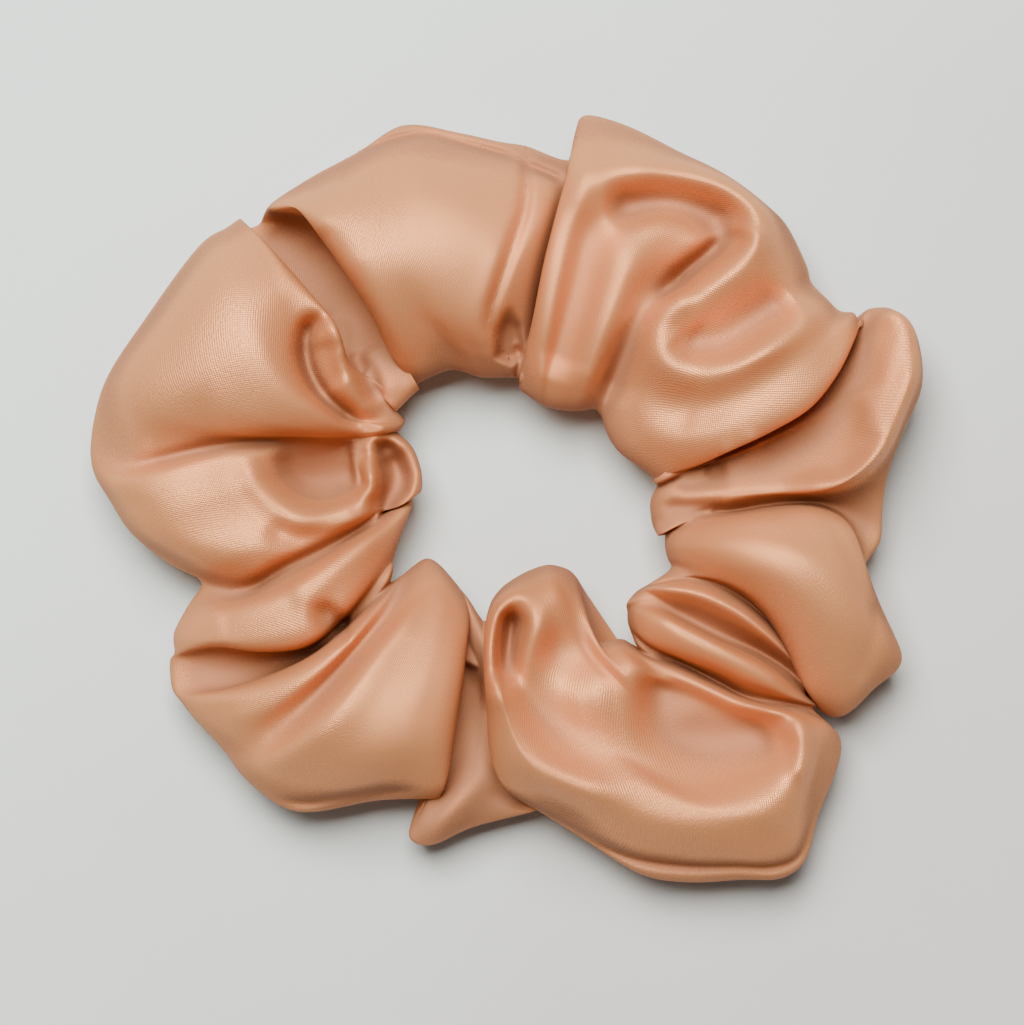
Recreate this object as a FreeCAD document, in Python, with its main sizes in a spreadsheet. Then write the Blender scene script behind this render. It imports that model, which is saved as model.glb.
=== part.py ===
"""Gathered satin hair scrunchie: a sewn cloth tube drawn up on a flat elastic loop.

The cloth tube is hollow and lies as a ring of puffs. Its two ends meet at the closing
seam, at the back of the ring (+Y). The loop opens by stretching along Y, so the cloth and
the elastic, each one strip on the real thing, are parted across the ring where they
stretch: a lower half, and an upper half that holds the closing seam and the elastic's lap.
Millimetres, +Z up, origin at the middle of the ring's footprint on the table.
"""

import FreeCAD, Part
import math
import os
import Sketcher
from FreeCAD import Placement, Rotation, Vector

doc = FreeCAD.newDocument("scrunchie")

# ---------------------------------------------------------------- driving dimensions

sheet = doc.addObject("Spreadsheet::Sheet", "sizes")
SIZES = {
    "loop_x": 2.83,           # middle of the hair loop, off the footprint's middle
    "loop_y": 0.67,
    "stretch_gap": 0.3,       # clearance between the halves that part when it stretches
    "seam_gap": 0.06,         # clearance between the two ends that the closing seam joins
    "throat_radius": 14.0,    # hair loop at rest
    "throat_bulge": 0.6,      # how far the gathers would reach inside the throat
    "middle_height": 12.8,    # of the tube's middle over the table
    "cloth": 1.0,             # gathered cloth, two to three plies with air between
    "seam_ply": 0.5,          # seam allowance, pressed flat
    "allowance": 6.0,         # width of the seam allowances
    "elastic_radius": 20.5,   # inside face of the elastic loop
    "elastic_height": 9.7,    # of the elastic's middle over the table: it hangs low in the tube
    "elastic_width": 6.0,
    "elastic_thick": 1.2,
    "lap_angle": 15.0,        # the elastic's ends pass each other by this much each way
    "lap_clearance": 0.1,
    "thread": 0.4,
    "seam_stitch": 2.6,       # stitch pitch of the two cloth seams
    "lap_stitch": 1.1,        # pitch of the zigzag that holds the lap
}
# Puffs and necks of the gathered tube: angle round the loop, reach from the loop's middle,
# half height. Necks are where the gathers pull in.
STATIONS = [
    (0.0, 47.6, 12.2),
    (20.0, 51.2, 14.6),
    (37.0, 47.0, 12.2),
    (62.0, 49.5, 14.8),
    (78.0, 51.5, 14.2),
    (90.0, 46.0, 10.7),
    (110.0, 51.0, 13.8),
    (127.0, 49.8, 11.7),
    (150.0, 54.6, 14.8),
    (170.0, 58.2, 13.8),
    (180.0, 55.4, 12.6),
    (196.0, 49.2, 11.2),
    (214.0, 54.2, 14.2),
    (232.0, 53.4, 14.6),
    (250.0, 47.8, 12.2),
    (270.0, 42.4, 10.7),
    (284.0, 49.8, 13.6),
    (300.0, 58.6, 14.8),
    (316.0, 54.2, 13.2),
    (336.0, 51.6, 14.2),
    (352.0, 47.0, 11.8),
    (360.0, 47.6, 12.2),
]
row = 1
for name, value in SIZES.items():
    sheet.set(f"A{row}", name)
    sheet.set(f"B{row}", str(value))
    sheet.setAlias(f"B{row}", name)
    row += 1
for number, station in enumerate(STATIONS):
    for column, word, value in zip("BCD", ("angle", "reach", "rise"), station):
        sheet.set(f"{column}{row}", str(value))
        sheet.setAlias(f"{column}{row}", f"{word}_of_{number:02d}")
    row += 1
doc.recompute()

size = {name: float(sheet.get(name)) for name in SIZES}


def station(word, number):
    """One station's angle, reach or rise, from the sheet."""
    return float(sheet.get(f"{word}_of_{number:02d}"))


loop_middle = Vector(size["loop_x"], size["loop_y"], 0)
half_gap = Vector(0, size["stretch_gap"] / 2, 0)
UPPER = loop_middle + half_gap
LOWER = loop_middle - half_gap
BESIDE_SEAM = Vector(size["seam_gap"] / 2, 0, 0)
FAR = 200.0                   # larger than the whole ring


# ---------------------------------------------------------------- helpers


def part_object(kind, name, placement=None, **bound):
    """A Part primitive or boolean whose sizes are expressions on the sheet."""
    made = doc.addObject(kind, name)
    for prop, expression in bound.items():
        made.setExpression(prop, expression)
    if placement is not None:
        made.Placement = placement
    return made


def cut(name, base, tool):
    made = doc.addObject("Part::Cut", name)
    made.Base, made.Tool = base, tool
    return made


def common(name, base, tool):
    made = doc.addObject("Part::Common", name)
    made.Base, made.Tool = base, tool
    return made


def fuse(name, shapes):
    made = doc.addObject("Part::MultiFuse", name)
    made.Shapes = shapes
    return made


def section(name, number, near, far, rise):
    """One closed cross-section of the tube, an upright ellipse that points at the loop's
    middle, in four quarters so that a loft keeps its corners matched. near and far are its
    reach from there, and rise its half height."""
    angle = station("angle", number)
    ellipse = Part.Ellipse(Vector(), (far - near) / 2, rise)
    quarters = [math.pi / 2 * n for n in range(5)]
    arcs = [ellipse.toShape(a, b) for a, b in zip(quarters, quarters[1:])]
    upright = Rotation(Vector(0, 0, 1), angle) * Rotation(Vector(1, 0, 0), 90)
    middle = Rotation(Vector(0, 0, 1), angle).multVec(Vector((far + near) / 2, 0, 0))
    wire = doc.addObject("Part::Feature", name)
    wire.Shape = Part.Wire(arcs)
    wire.Placement = Placement(middle + Vector(0, 0, size["middle_height"]), upright)
    return wire


def rings(name, numbers, skin):
    """The sections at the stations, the tube's skin set in by so much all round."""
    made = []
    for number in numbers:
        near = size["throat_radius"] - size["throat_bulge"] + skin * 1.6
        far = station("reach", number) - skin
        rise = station("rise", number) - skin
        made.append(section(f"{name}_ring_{number:02d}", number, near, far, rise))
    return made


def tube(name, numbers, skin):
    """A solid lofted through the sections."""
    loft = doc.addObject("Part::Loft", name)
    loft.Sections = rings(name, numbers, skin)
    loft.Solid = True
    return loft


def below(name, height):
    """Everything under a height, as a box."""
    box = part_object("Part::Box", name)
    box.Length = box.Width = box.Height = FAR
    box.Placement.Base = Vector(-FAR / 2, -FAR / 2, -FAR)
    box.setExpression("Placement.Base.z", f"{height} - {FAR}")
    return box


def around(angle, radius, height=0.0):
    """A point by its angle round the loop, its distance from the loop's axis, and its
    height over the middle of the tube."""
    turned = Rotation(Vector(0, 0, 1), angle).multVec(Vector(radius, 0, 0))
    return turned + Vector(0, 0, size["middle_height"] + height)


def outline(shape, angle):
    """How far the cloth reaches at the long seam's height, at an angle."""
    line = Part.makeLine(around(angle, size["elastic_radius"] * 1.4), around(angle, FAR))
    return max(v.Point.distanceToPoint(around(angle, 0)) for v in line.common(shape).Vertexes)


def long_allowance(shape, start, end):
    """The long seam's two plies, a flat strip that follows the cloth's outer edge."""
    count = round((end - start) / 6)
    angles = [start + 0.2 + (end - start - 0.4) * n / count for n in range(count + 1)]
    reach = [outline(shape, angle) - size["cloth"] / 2 for angle in angles]
    low = -size["seam_ply"] / 2
    outer = [around(a, r, low) for a, r in zip(angles, reach)]
    inner = [around(a, r - size["allowance"], low) for a, r in zip(angles, reach)]
    border = Part.makePolygon(outer + inner[::-1] + outer[:1])
    return Part.Face(border).extrude(Vector(0, 0, size["seam_ply"]))


# ---------------------------------------------------------------- satin cover


def cover(name, numbers, place, seam_side=0):
    """A stretch of the hollow cloth tube. It rests on flats under its puffs and grips the
    hair with a round throat. The long seam's allowance stands inside along the outer
    edge. seam_side is +1 or -1 where the stretch ends at the closing seam, x = 0 in the
    loop's own frame, and says which side of it the stretch lies on."""
    outside = tube(f"{name}_outside", numbers, 0)
    resting = cut(f"{name}_resting", outside, below(f"{name}_table", "0"))
    throat = part_object(
        "Part::Cylinder", f"{name}_throat", Placement(Vector(0, 0, -FAR / 2), Rotation()),
        Radius="sizes.throat_radius",
    )
    throat.Height = FAR
    gripping = cut(f"{name}_gripping", resting, throat)
    inside = tube(f"{name}_inside", numbers, size["cloth"])
    hollow = cut(f"{name}_hollow", inside, below(f"{name}_floor", "sizes.cloth"))
    pieces = [cut(f"{name}_shell", gripping, hollow)]

    doc.recompute()
    plies = doc.addObject("Part::Feature", f"{name}_long_allowance")
    plies.Shape = long_allowance(outside.Shape, station("angle", numbers[0]), station("angle", numbers[-1]))
    pieces.append(plies)

    if seam_side:
        ply = part_object(
            "Part::Box", f"{name}_end_slab", Placement(Vector(0, 0, -FAR / 2), Rotation()),
            Length="sizes.seam_ply",
        )
        ply.Width = ply.Height = FAR
        if seam_side < 0:
            ply.setExpression("Placement.Base.x", "-sizes.seam_ply")
        turned = common(f"{name}_turned_end", gripping, ply)
        last = numbers[-1] if seam_side > 0 else numbers[0]
        near = "sizes.elastic_radius - 2"
        far = f"sizes.reach_of_{last:02d} - sizes.cloth - sizes.allowance + 1"
        mouth = part_object("Part::Cylinder", f"{name}_mouth")
        mouth.Height = FAR
        mouth.setExpression("Radius", f"sizes.rise_of_{last:02d} - sizes.cloth - 3")
        mouth.Placement = Placement(Vector(-FAR / 2, 1, 1), Rotation(Vector(0, 1, 0), 90))
        mouth.setExpression("Placement.Base.y", f"(({near}) + ({far})) / 2 - 1.5")
        mouth.setExpression("Placement.Base.z", "sizes.middle_height")
        passage = part_object("Part::Box", f"{name}_passage")
        passage.Length = FAR
        passage.setExpression("Width", f"({far}) - ({near}) - 4")
        passage.setExpression("Height", "sizes.elastic_width + 2")
        passage.Placement.Base = Vector(-FAR / 2, 1, 1)
        passage.setExpression("Placement.Base.y", near)
        passage.setExpression("Placement.Base.z", "sizes.elastic_height - sizes.elastic_width / 2 - 1")
        opening = fuse(f"{name}_opening", [mouth, passage])
        pieces.append(cut(f"{name}_end_allowance", turned, opening))

    whole = fuse(name, pieces)
    whole.Placement = Placement(place, Rotation())
    whole.Label = name
    return whole


RIGHT = range(0, 6)
LEFT = range(5, 11)
BOTTOM = range(10, 22)
cover_right = cover("cover_right_end", list(RIGHT), UPPER + BESIDE_SEAM, seam_side=1)
cover_left = cover("cover_left_end", list(LEFT), UPPER - BESIDE_SEAM, seam_side=-1)
cover_lower = cover("cover_lower", list(BOTTOM), LOWER)


# ---------------------------------------------------------------- elastic loop

# The outer end is an arc about a middle a little further back, so that it leaves the loop
# in line with it and lies over the inner end where the two lap.
ARC_BACK = "(sizes.elastic_thick + sizes.lap_clearance)"
arc_back = size["elastic_thick"] + size["lap_clearance"]


def elastic(name, radius_rule, sweep_rule, place, turn):
    """A flat strip of elastic standing on edge, revolved about its own upright axis."""
    body = doc.addObject("PartDesign::Body", name)
    sketch = body.newObject("Sketcher::SketchObject", f"{name}_section")
    plane = next(o for o in body.Origin.OriginFeatures if o.Role == "XZ_Plane")
    sketch.AttachmentSupport = (plane, [""])
    sketch.MapMode = "FlatFace"
    near = size["elastic_radius"]
    far = near + size["elastic_thick"]
    half = size["elastic_width"] / 2
    corners = [(near, -half), (far, -half), (far, half), (near, half)]
    for start, end in zip(corners, corners[1:] + corners[:1]):
        sketch.addGeometry(Part.LineSegment(Vector(*start, 0), Vector(*end, 0)))
    for line in range(4):
        level = "Horizontal" if line % 2 == 0 else "Vertical"
        sketch.addConstraint(Sketcher.Constraint("Coincident", line, 2, (line + 1) % 4, 1))
        sketch.addConstraint(Sketcher.Constraint(level, line))
    rules = [
        ("to_face", ("DistanceX", -1, 1, 0, 1, near), radius_rule),
        ("thickness", ("DistanceX", 0, 1, 0, 2, far - near), "sizes.elastic_thick"),
        ("width", ("DistanceY", 1, 1, 1, 2, half * 2), "sizes.elastic_width"),
        ("half_width", ("DistanceY", 0, 1, -1, 1, half), "sizes.elastic_width / 2"),
    ]
    for word, rule, expression in rules:
        index = sketch.addConstraint(Sketcher.Constraint(*rule))
        sketch.renameConstraint(index, word)
        sketch.setExpression(f"Constraints.{word}", expression)
    strip = body.newObject("PartDesign::Revolution", f"{name}_strip")
    strip.Profile = sketch
    strip.ReferenceAxis = (sketch, ["V_Axis"])
    strip.Angle = 90.0
    strip.setExpression("Angle", sweep_rule)
    body.Placement = Placement(place, Rotation(Vector(0, 0, 1), turn))
    body.setExpression("Placement.Base.z", "sizes.elastic_height")
    body.Label = name
    return body


elastic_lower = elastic("elastic_lower", "sizes.elastic_radius", "180", LOWER, 180)
elastic_inner = elastic(
    "elastic_inner_end", "sizes.elastic_radius", "90 + sizes.lap_angle", UPPER, 0,
)
elastic_outer = elastic(
    "elastic_outer_end",
    f"sqrt(sizes.elastic_radius^2 + {ARC_BACK}^2)",
    f"(90 + sizes.lap_angle) * 1 deg + atan({ARC_BACK} / sizes.elastic_radius)",
    UPPER + Vector(0, arc_back, 0),
    90 - size["lap_angle"],
)


# ---------------------------------------------------------------- thread


def bar(start, end):
    """A straight run of thread."""
    run = end - start
    return Part.makeCylinder(size["thread"] / 2, run.Length, start, run)


def thread(name, runs, place):
    """A thread, as the separate short runs that show between its needle holes."""
    made = doc.addObject("Part::Feature", name)
    made.Shape = Part.makeCompound(runs)
    made.Placement = Placement(place, Rotation())
    made.Label = name
    return made


# The zigzag over the lap: one solid, whose legs go through both thicknesses.
legs = round(math.radians(2 * size["lap_angle"] - 4) * size["elastic_radius"] / size["lap_stitch"])
zigzag = []
for leg in range(legs + 1):
    angle = 90 + (size["lap_angle"] - 2) * (2 * leg / legs - 1)
    side = (2.0 if leg % 2 else -2.0) + size["elastic_height"] - size["middle_height"]
    inner = around(angle, size["elastic_radius"] - size["thread"] / 4, side)
    outer = around(angle, size["elastic_radius"] + 2 * size["elastic_thick"] + 0.25, side)
    if leg:
        zigzag.append(bar(last_outer, outer))
        zigzag.append(bar(last_inner, inner))
    zigzag.append(bar(inner, outer))
    zigzag.append(Part.makeSphere(size["thread"] / 2, inner))
    zigzag.append(Part.makeSphere(size["thread"] / 2, outer))
    last_inner, last_outer = inner, outer
join_thread = thread("elastic_join_thread", [zigzag[0].fuse(zigzag[1:])], UPPER)

# The closing seam: runs half sunk in the right-hand end's allowance, in a ring one stitch
# inside the cloth.
doc.recompute()
last = RIGHT[-1]
near = size["throat_radius"] + size["cloth"] * 1.6 + 1
far = station("reach", last) - size["cloth"] - 1
rise = station("rise", last) - size["cloth"] - 1
ring_middle = Vector(0, (near + far) / 2, size["middle_height"])
count = round(math.pi * ((far - near) / 2 + rise) / size["seam_stitch"])
runs = []
for stitch in range(count):
    ends = []
    for fraction in (0.1, 0.75):
        turn = 2 * math.pi * (stitch + fraction) / count
        across = Vector(0, math.cos(turn) * (far - near) / 2, math.sin(turn) * rise)
        ends.append(ring_middle + across)
    if min(end.z for end in ends) > size["cloth"] + size["thread"]:
        for side in (size["seam_ply"], -size["seam_ply"]):
            aside = Vector(side + BESIDE_SEAM.x * (1 if side > 0 else -1), 0, 0)
            runs.append(bar(ends[0] + aside, ends[1] + aside))
closing_thread = thread("closing_seam_thread", runs, UPPER)


def long_seam(name, stretches, place):
    """Runs half sunk in the long seam's allowance, one stitch in from the cloth."""
    runs = []
    for outside, start, end in stretches:
        angle = start
        while angle < end:
            radius = outline(outside, angle) - size["cloth"] - 1.5
            step = math.degrees(size["seam_stitch"] / radius)
            if angle + step > end:
                break
            after = outline(outside, angle + step * 0.7) - size["cloth"] - 1.5
            for side in (size["seam_ply"] / 2, -size["seam_ply"] / 2):
                runs.append(bar(around(angle, radius, side), around(angle + step * 0.7, after, side)))
            angle += step
    return thread(name, runs, place)


def outside_of(name):
    return doc.getObject(f"{name}_outside").Shape


upper_thread = long_seam(
    "long_seam_thread_upper",
    [(outside_of("cover_right_end"), 3, 86), (outside_of("cover_left_end"), 94, 177)],
    UPPER,
)
lower_thread = long_seam(
    "long_seam_thread_lower", [(outside_of("cover_lower"), 183, 357)], LOWER,
)

# ---------------------------------------------------------------- checks and export

doc.recompute()
NODES = [
    cover_lower, cover_left, cover_right, elastic_lower, elastic_inner, elastic_outer,
    join_thread, closing_thread, lower_thread, upper_thread,
]
failed = [(o.Name, o.getStatusString()) for o in doc.Objects if "Invalid" in o.State or "Error" in o.State]
if failed:
    raise RuntimeError(f"failed to build: {failed}")
whole = FreeCAD.BoundBox()
for node in NODES:
    shape = node.Shape
    if shape.isNull() or not shape.isValid() or not shape.Solids:
        raise RuntimeError(f"{node.Label} is not a valid solid")
    box = shape.optimalBoundingBox()
    whole.add(box)
    print(node.Label, len(shape.Solids), round(shape.Volume, 1), box)
print("whole", whole)
os.makedirs("parts", exist_ok=True)
for node in NODES:
    node.Shape.exportStep(f"parts/{node.Label}.step")
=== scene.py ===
"""A gathered satin scrunchie lying on a pale floor, built as it is put together."""

import math

import bpy
import numpy as np
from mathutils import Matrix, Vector


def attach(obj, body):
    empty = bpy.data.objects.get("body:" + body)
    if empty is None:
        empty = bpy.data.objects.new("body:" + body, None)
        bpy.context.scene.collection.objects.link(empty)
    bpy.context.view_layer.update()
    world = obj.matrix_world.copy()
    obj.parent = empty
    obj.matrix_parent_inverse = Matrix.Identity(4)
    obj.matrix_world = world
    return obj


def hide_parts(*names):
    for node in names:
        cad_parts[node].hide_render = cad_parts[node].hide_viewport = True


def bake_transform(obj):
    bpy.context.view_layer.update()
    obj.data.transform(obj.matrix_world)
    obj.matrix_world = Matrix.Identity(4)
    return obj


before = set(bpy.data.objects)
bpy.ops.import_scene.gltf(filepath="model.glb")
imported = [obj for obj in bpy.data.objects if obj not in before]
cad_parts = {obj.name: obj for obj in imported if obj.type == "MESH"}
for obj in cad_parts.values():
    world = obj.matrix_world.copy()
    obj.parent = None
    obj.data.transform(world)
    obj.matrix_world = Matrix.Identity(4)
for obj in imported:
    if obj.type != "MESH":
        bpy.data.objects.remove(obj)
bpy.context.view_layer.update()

# ------------------------------------------------------------------ cover
# One strip of peach satin, sewn lengthwise into a tube, turned, and drawn up on the elastic
# inside it, so that it falls in puffs and deep gathers all round the hair loop. Its ends meet
# at the closing seam, beside the tall puff at +Y.

# Each fold line runs over the top of the tube along one ridge, lip or furrow, from the hair
# loop to the outer edge: x, y, height in millimetres. They go round the loop from the closing
# seam towards -X.
FOLDS = [
    # the puff left of the closing seam, which rolls over the one before it
    [(0.8, 16.0, 11), (0.3, 18.5, 15.5), (-2.2, 22.5, 20), (-1, 27.5, 22.5), (1.2, 34, 22.5),
     (2.6, 41, 18.5), (2.5, 46.6, 10.5)],
    [(-0.5, 16, 11), (-1.2, 17.8, 15), (-4, 22.5, 21.5), (-3.5, 28, 24), (-1.8, 34, 24),
     (-0.5, 41, 19.5), (-0.3, 47, 10.5)],
    [(-3.5, 16, 11), (-4.5, 18.5, 16), (-8, 24, 23), (-9, 31, 26), (-8, 38, 24.5), (-7, 44.5, 17),
     (-6.5, 48.4, 10)],
    [(-7, 17, 11), (-8, 19.5, 16), (-12, 25, 23), (-14, 31, 26.5), (-14.5, 38, 25), (-14, 45, 17.5),
     (-13.5, 49.4, 10)],
    [(-10.5, 15.8, 11), (-12.5, 18, 17), (-17, 25.5, 24), (-20.5, 32, 26), (-22.5, 37.5, 24),
     (-22, 41.5, 18.5), (-19.5, 45.8, 10)],
    [(-12, 15, 11.5), (-14.7, 18, 15), (-18.5, 25.5, 19.5), (-22.7, 31.8, 20), (-26, 36.5, 20),
     (-27.5, 39, 16.5), (-26, 42.3, 10)],
    [(-11.6, 14.8, 9), (-13.6, 18.3, 10), (-17.2, 25.6, 11), (-21.2, 32.2, 12), (-26, 37.2, 16.5),
     (-30.6, 38, 14.5), (-31.3, 38.6, 10)],
    # furrow
    [(-12.4, 14.2, 8), (-14.6, 18, 8), (-18.4, 24.8, 7), (-22.4, 31, 7), (-26, 34.9, 7),
     (-30.2, 36.3, 7), (-33, 36.4, 7)],
    [(-14.6, 12, 8.5), (-18.6, 16, 8), (-23.6, 21, 7), (-27, 26.2, 7), (-31, 30.6, 7), (-34.2, 34, 7),
     (-35.5, 36, 7)],
    # upper left puff, with a small pleat along its lip
    [(-14.3, 11.5, 10.5), (-16.5, 14.5, 14), (-20.5, 17, 19), (-22.3, 22.5, 21), (-25.8, 27, 21),
     (-31, 33, 18.5), (-35.2, 37, 10)],
    [(-13.5, 10.3, 10.5), (-17.5, 10.6, 13.5), (-22, 12.2, 18.5), (-25.3, 16.5, 20.5),
     (-26.5, 21.5, 21.5), (-29.5, 27.5, 23), (-33, 33, 18.5), (-37, 35.8, 10)],
    [(-13.5, 9.8, 10.5), (-18, 9.8, 15), (-23.5, 11, 21.5), (-29, 15.5, 25.5), (-33, 22, 26.5),
     (-36.5, 28, 23.5), (-40.3, 33.7, 10)],
    [(-13.8, 9.3, 10.5), (-18.5, 8.8, 14.5), (-25, 9, 21), (-33, 11.5, 25), (-40, 16.5, 25.5),
     (-44.5, 21.5, 21), (-47.5, 24, 10)],
    [(-14, 9, 10), (-19, 8.3, 13.5), (-26, 8.2, 18.5), (-36, 8.8, 22), (-45, 11.5, 22.5),
     (-50, 14.5, 18), (-53.2, 15, 10)],
    # crease across the left side, and the square dent and small loop under it
    [(-14.2, 8.7, 9.5), (-20.8, 7.5, 12.5), (-27, 7.7, 15.5), (-35, 7.4, 18), (-43, 5.8, 18.5),
     (-50, 4.7, 15), (-55, 6.5, 10)],
    [(-12.5, 7.2, 10.5), (-16, 7.3, 12), (-20.5, 6.8, 11.5), (-26, 6, 13.5), (-31, 6, 17),
     (-37, 5.5, 19.5), (-45, 3.5, 20), (-51, 2.5, 16.5), (-54.5, 3.5, 10)],
    [(-11.3, 4.5, 10.5), (-14, 4.2, 12.5), (-18.8, 4, 15.5), (-20.2, 3.5, 11.5), (-26, 2.5, 12),
     (-31.5, 2.8, 17.5), (-37, 1.5, 20.5), (-44, -0.5, 20.5), (-49.5, -0.8, 16.5), (-52.6, 0.2, 10)],
    [(-11, 2.5, 10.5), (-13, 1, 13), (-18, 0.3, 17), (-20.5, 0.5, 14.5), (-25, -0.7, 15.5),
     (-31, -1.0, 18.5), (-37, -3.2, 20), (-43.5, -4.8, 19), (-48, -4.8, 14.5), (-49.5, -4.5, 10)],
    [(-11.2, 1, 10.5), (-14, -1.0, 13.5), (-18.5, -2.0, 17.5), (-22, -3.2, 18), (-27, -4.5, 19.5),
     (-33, -7, 20), (-38, -8.3, 18), (-42.5, -8.5, 13.5), (-44.5, -8.6, 10)],
    [(-12.3, 0.2, 9.5), (-15, -0.8, 12), (-18, -2.8, 14), (-21, -4.8, 15), (-25, -7.2, 15.5),
     (-30, -9.7, 15.5), (-33, -11.4, 14.5), (-36, -11.9, 13), (-40.3, -10.9, 9.5)],
    # lower left puff
    [(-12.6, -1.5, 11), (-15.5, -3.5, 15.5), (-19, -6, 19), (-24, -9.5, 21.5), (-30, -13, 21.5),
     (-36, -14.5, 18.5), (-42, -14, 10)],
    [(-13.8, -4.5, 11), (-17, -7.5, 16.5), (-21, -11, 20), (-26, -14.5, 22), (-32, -17, 21),
     (-38, -18, 17.5), (-44, -17.8, 10)],
    [(-14.8, -7.5, 11), (-17.5, -10.5, 15.5), (-21, -14.5, 19), (-26, -18.5, 20.5), (-32, -19.6, 19),
     (-38, -19, 16.5), (-43.8, -20.1, 10)],
    # furrow
    [(-15.1, -9.2, 10.5), (-18, -12.4, 12.5), (-21.5, -16.1, 12.5), (-26, -19.6, 11),
     (-32, -20.6, 10), (-38, -20.7, 10), (-44.6, -21.8, 9)],
    [(-15.2, -10.2, 10.5), (-17.8, -13.2, 12.5), (-21.3, -16.8, 12.5), (-25.7, -20.3, 11),
     (-31, -22.6, 10), (-37, -24.2, 10), (-44.4, -24.6, 9)],
    # bottom left puff: lip, ridge, furrow, ridge
    [(-15.2, -11, 11), (-17.5, -13.8, 15.5), (-21, -17.3, 18.5), (-25.5, -20.8, 19), (-31, -23.6, 18),
     (-37, -25.5, 15.5), (-43, -26.8, 9.5)],
    [(-14.3, -10.5, 11), (-17, -14.5, 18), (-20.5, -18.8, 22), (-25, -23, 23), (-30, -26.5, 21.5),
     (-35, -28.6, 18), (-41, -29.3, 9.5)],
    [(-13.2, -9.7, 11), (-15.5, -14.8, 16.5), (-18.7, -18.5, 19), (-23.2, -23.8, 20),
     (-28, -28.7, 19), (-32.5, -32.3, 16), (-37.5, -33, 9.5)],
    [(-12, -8.7, 11), (-12.5, -13.8, 18), (-16, -19, 22.5), (-20, -24.7, 25), (-24.5, -29.8, 24.5),
     (-28.5, -33.5, 20), (-34.5, -37, 9.5)],
    [(-10.5, -7.8, 11), (-10, -12, 17), (-12.5, -19.5, 22.5), (-16, -27, 25), (-19.5, -33, 23.5),
     (-22.5, -37.5, 17.5), (-28, -41.3, 9.5)],
    [(-8.8, -8.6, 11), (-7.8, -12, 16.5), (-8.8, -19, 21.5), (-10.5, -26, 23.5), (-12.5, -32.5, 22.5),
     (-14, -36.5, 17.5), (-17, -39.8, 9.5)],
    [(-6.3, -11.5, 11), (-5, -14.5, 14.5), (-5.2, -20, 18), (-6.3, -27, 19.5), (-7.4, -33, 18.5),
     (-8.2, -37.5, 15), (-9.2, -39.6, 10)],
    [(-5, -13.5, 9), (-5, -17, 9.5), (-6, -22, 10), (-7, -28, 10), (-8, -34, 9.5), (-9.5, -38, 9),
     (-11, -40, 8.5)],
    # the deep gather between the two bottom puffs, with a low roll at its outer end
    [(-4, -15, 8.5), (-3.8, -19, 8), (-4.3, -25, 8.5), (-5.5, -31, 9), (-8, -37.5, 10),
     (-11, -42, 10.5), (-13, -45, 7.5)],
    [(-3.5, -15.8, 8.5), (-3.4, -20, 7.5), (-3.6, -26, 8), (-4.2, -32, 9.5), (-6, -37.5, 12.5),
     (-8.5, -42, 12.5), (-10.3, -46, 7.5)],
    [(-3, -16.5, 8.5), (-3, -21, 7.5), (-3, -27, 8), (-3.2, -32.5, 10), (-3.5, -37, 13),
     (-4, -41, 11), (-4.8, -43.6, 7.5)],
    [(-2.2, -16, 8.5), (-1.5, -21, 8), (-1, -27, 8), (-0.5, -33, 9), (1, -38, 9.5), (3, -40.5, 9),
     (4, -41.3, 7.5)],
    # large bottom puff: a hairpin ridge by the loop, then a wide dish with a raised rim
    [(-2.2, -14, 11), (-2.9, -17, 14.5), (-3, -22, 17), (-2.6, -28, 18), (-2.2, -33, 17.5),
     (-0.5, -37.6, 14.5), (3, -40.4, 9)],
    [(-1.2, -12.2, 11.5), (-1.5, -15.5, 19.5), (-1.7, -20, 22), (-1, -25, 22.5), (0.4, -30, 22.5),
     (3, -35, 22.5), (7.5, -40, 17), (11, -45.5, 9)],
    [(0.2, -10.9, 11.5), (0.7, -13.2, 20), (0.6, -15.5, 17), (0.3, -19, 16.5), (0, -22.5, 20),
     (0.5, -27, 22), (2.5, -31.8, 22), (7, -36.3, 22.5), (12.5, -41.5, 19), (17.5, -49.6, 9)],
    [(3.2, -9.2, 11.5), (3.5, -12.8, 20.5), (3.4, -16.5, 22), (2.3, -20.2, 21), (2.8, -24, 19),
     (5, -28, 18), (8.5, -32.5, 19.5), (13, -37.3, 22), (18.5, -42.5, 21), (22, -47, 15),
     (24, -50.8, 8.5)],
    [(6.2, -8.6, 11.5), (6.5, -12, 20), (6.8, -16, 20), (7.2, -20, 18.5), (7.8, -23.5, 19),
     (10, -28, 19), (13.5, -32.5, 19), (18.5, -37.3, 21.5), (24.5, -42.5, 22), (28.5, -47, 16),
     (31, -50.4, 8.5)],
    [(9.3, -10.5, 11.5), (9.6, -13.5, 16.5), (10.1, -17.5, 17.5), (10.6, -20.3, 17.5),
     (12.4, -23, 20), (14.2, -27, 20), (16.5, -31.5, 18.5), (22, -36.5, 18), (28.5, -41, 22.5),
     (33, -45.5, 17.5), (36.5, -50.2, 8.5)],
    [(11.6, -18.5, 12), (12.8, -20, 18.5), (15, -22.5, 21.5), (17, -25.5, 20), (19.5, -28.2, 17),
     (24, -31, 15), (29.5, -34.5, 16.5), (34, -39.5, 22), (37, -43.5, 17), (39.8, -47.3, 8.5)],
    [(13.6, -18.5, 12.5), (15.3, -20.2, 19.5), (17.2, -22, 20.5), (19.5, -24.2, 16.5),
     (23.5, -26.5, 14.5), (29, -29, 14.5), (34, -31.5, 16), (37.6, -35.5, 20.5), (39.8, -39.5, 14),
     (41.2, -42, 8.5)],
    [(15.6, -18.6, 12), (17, -20.2, 17), (19.5, -22.2, 16.5), (23.5, -24.5, 15.5), (29, -27.2, 15.5),
     (34.5, -28.9, 18), (38.2, -30.3, 20.5), (41.5, -33, 14.5), (43.9, -35, 9)],
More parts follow.
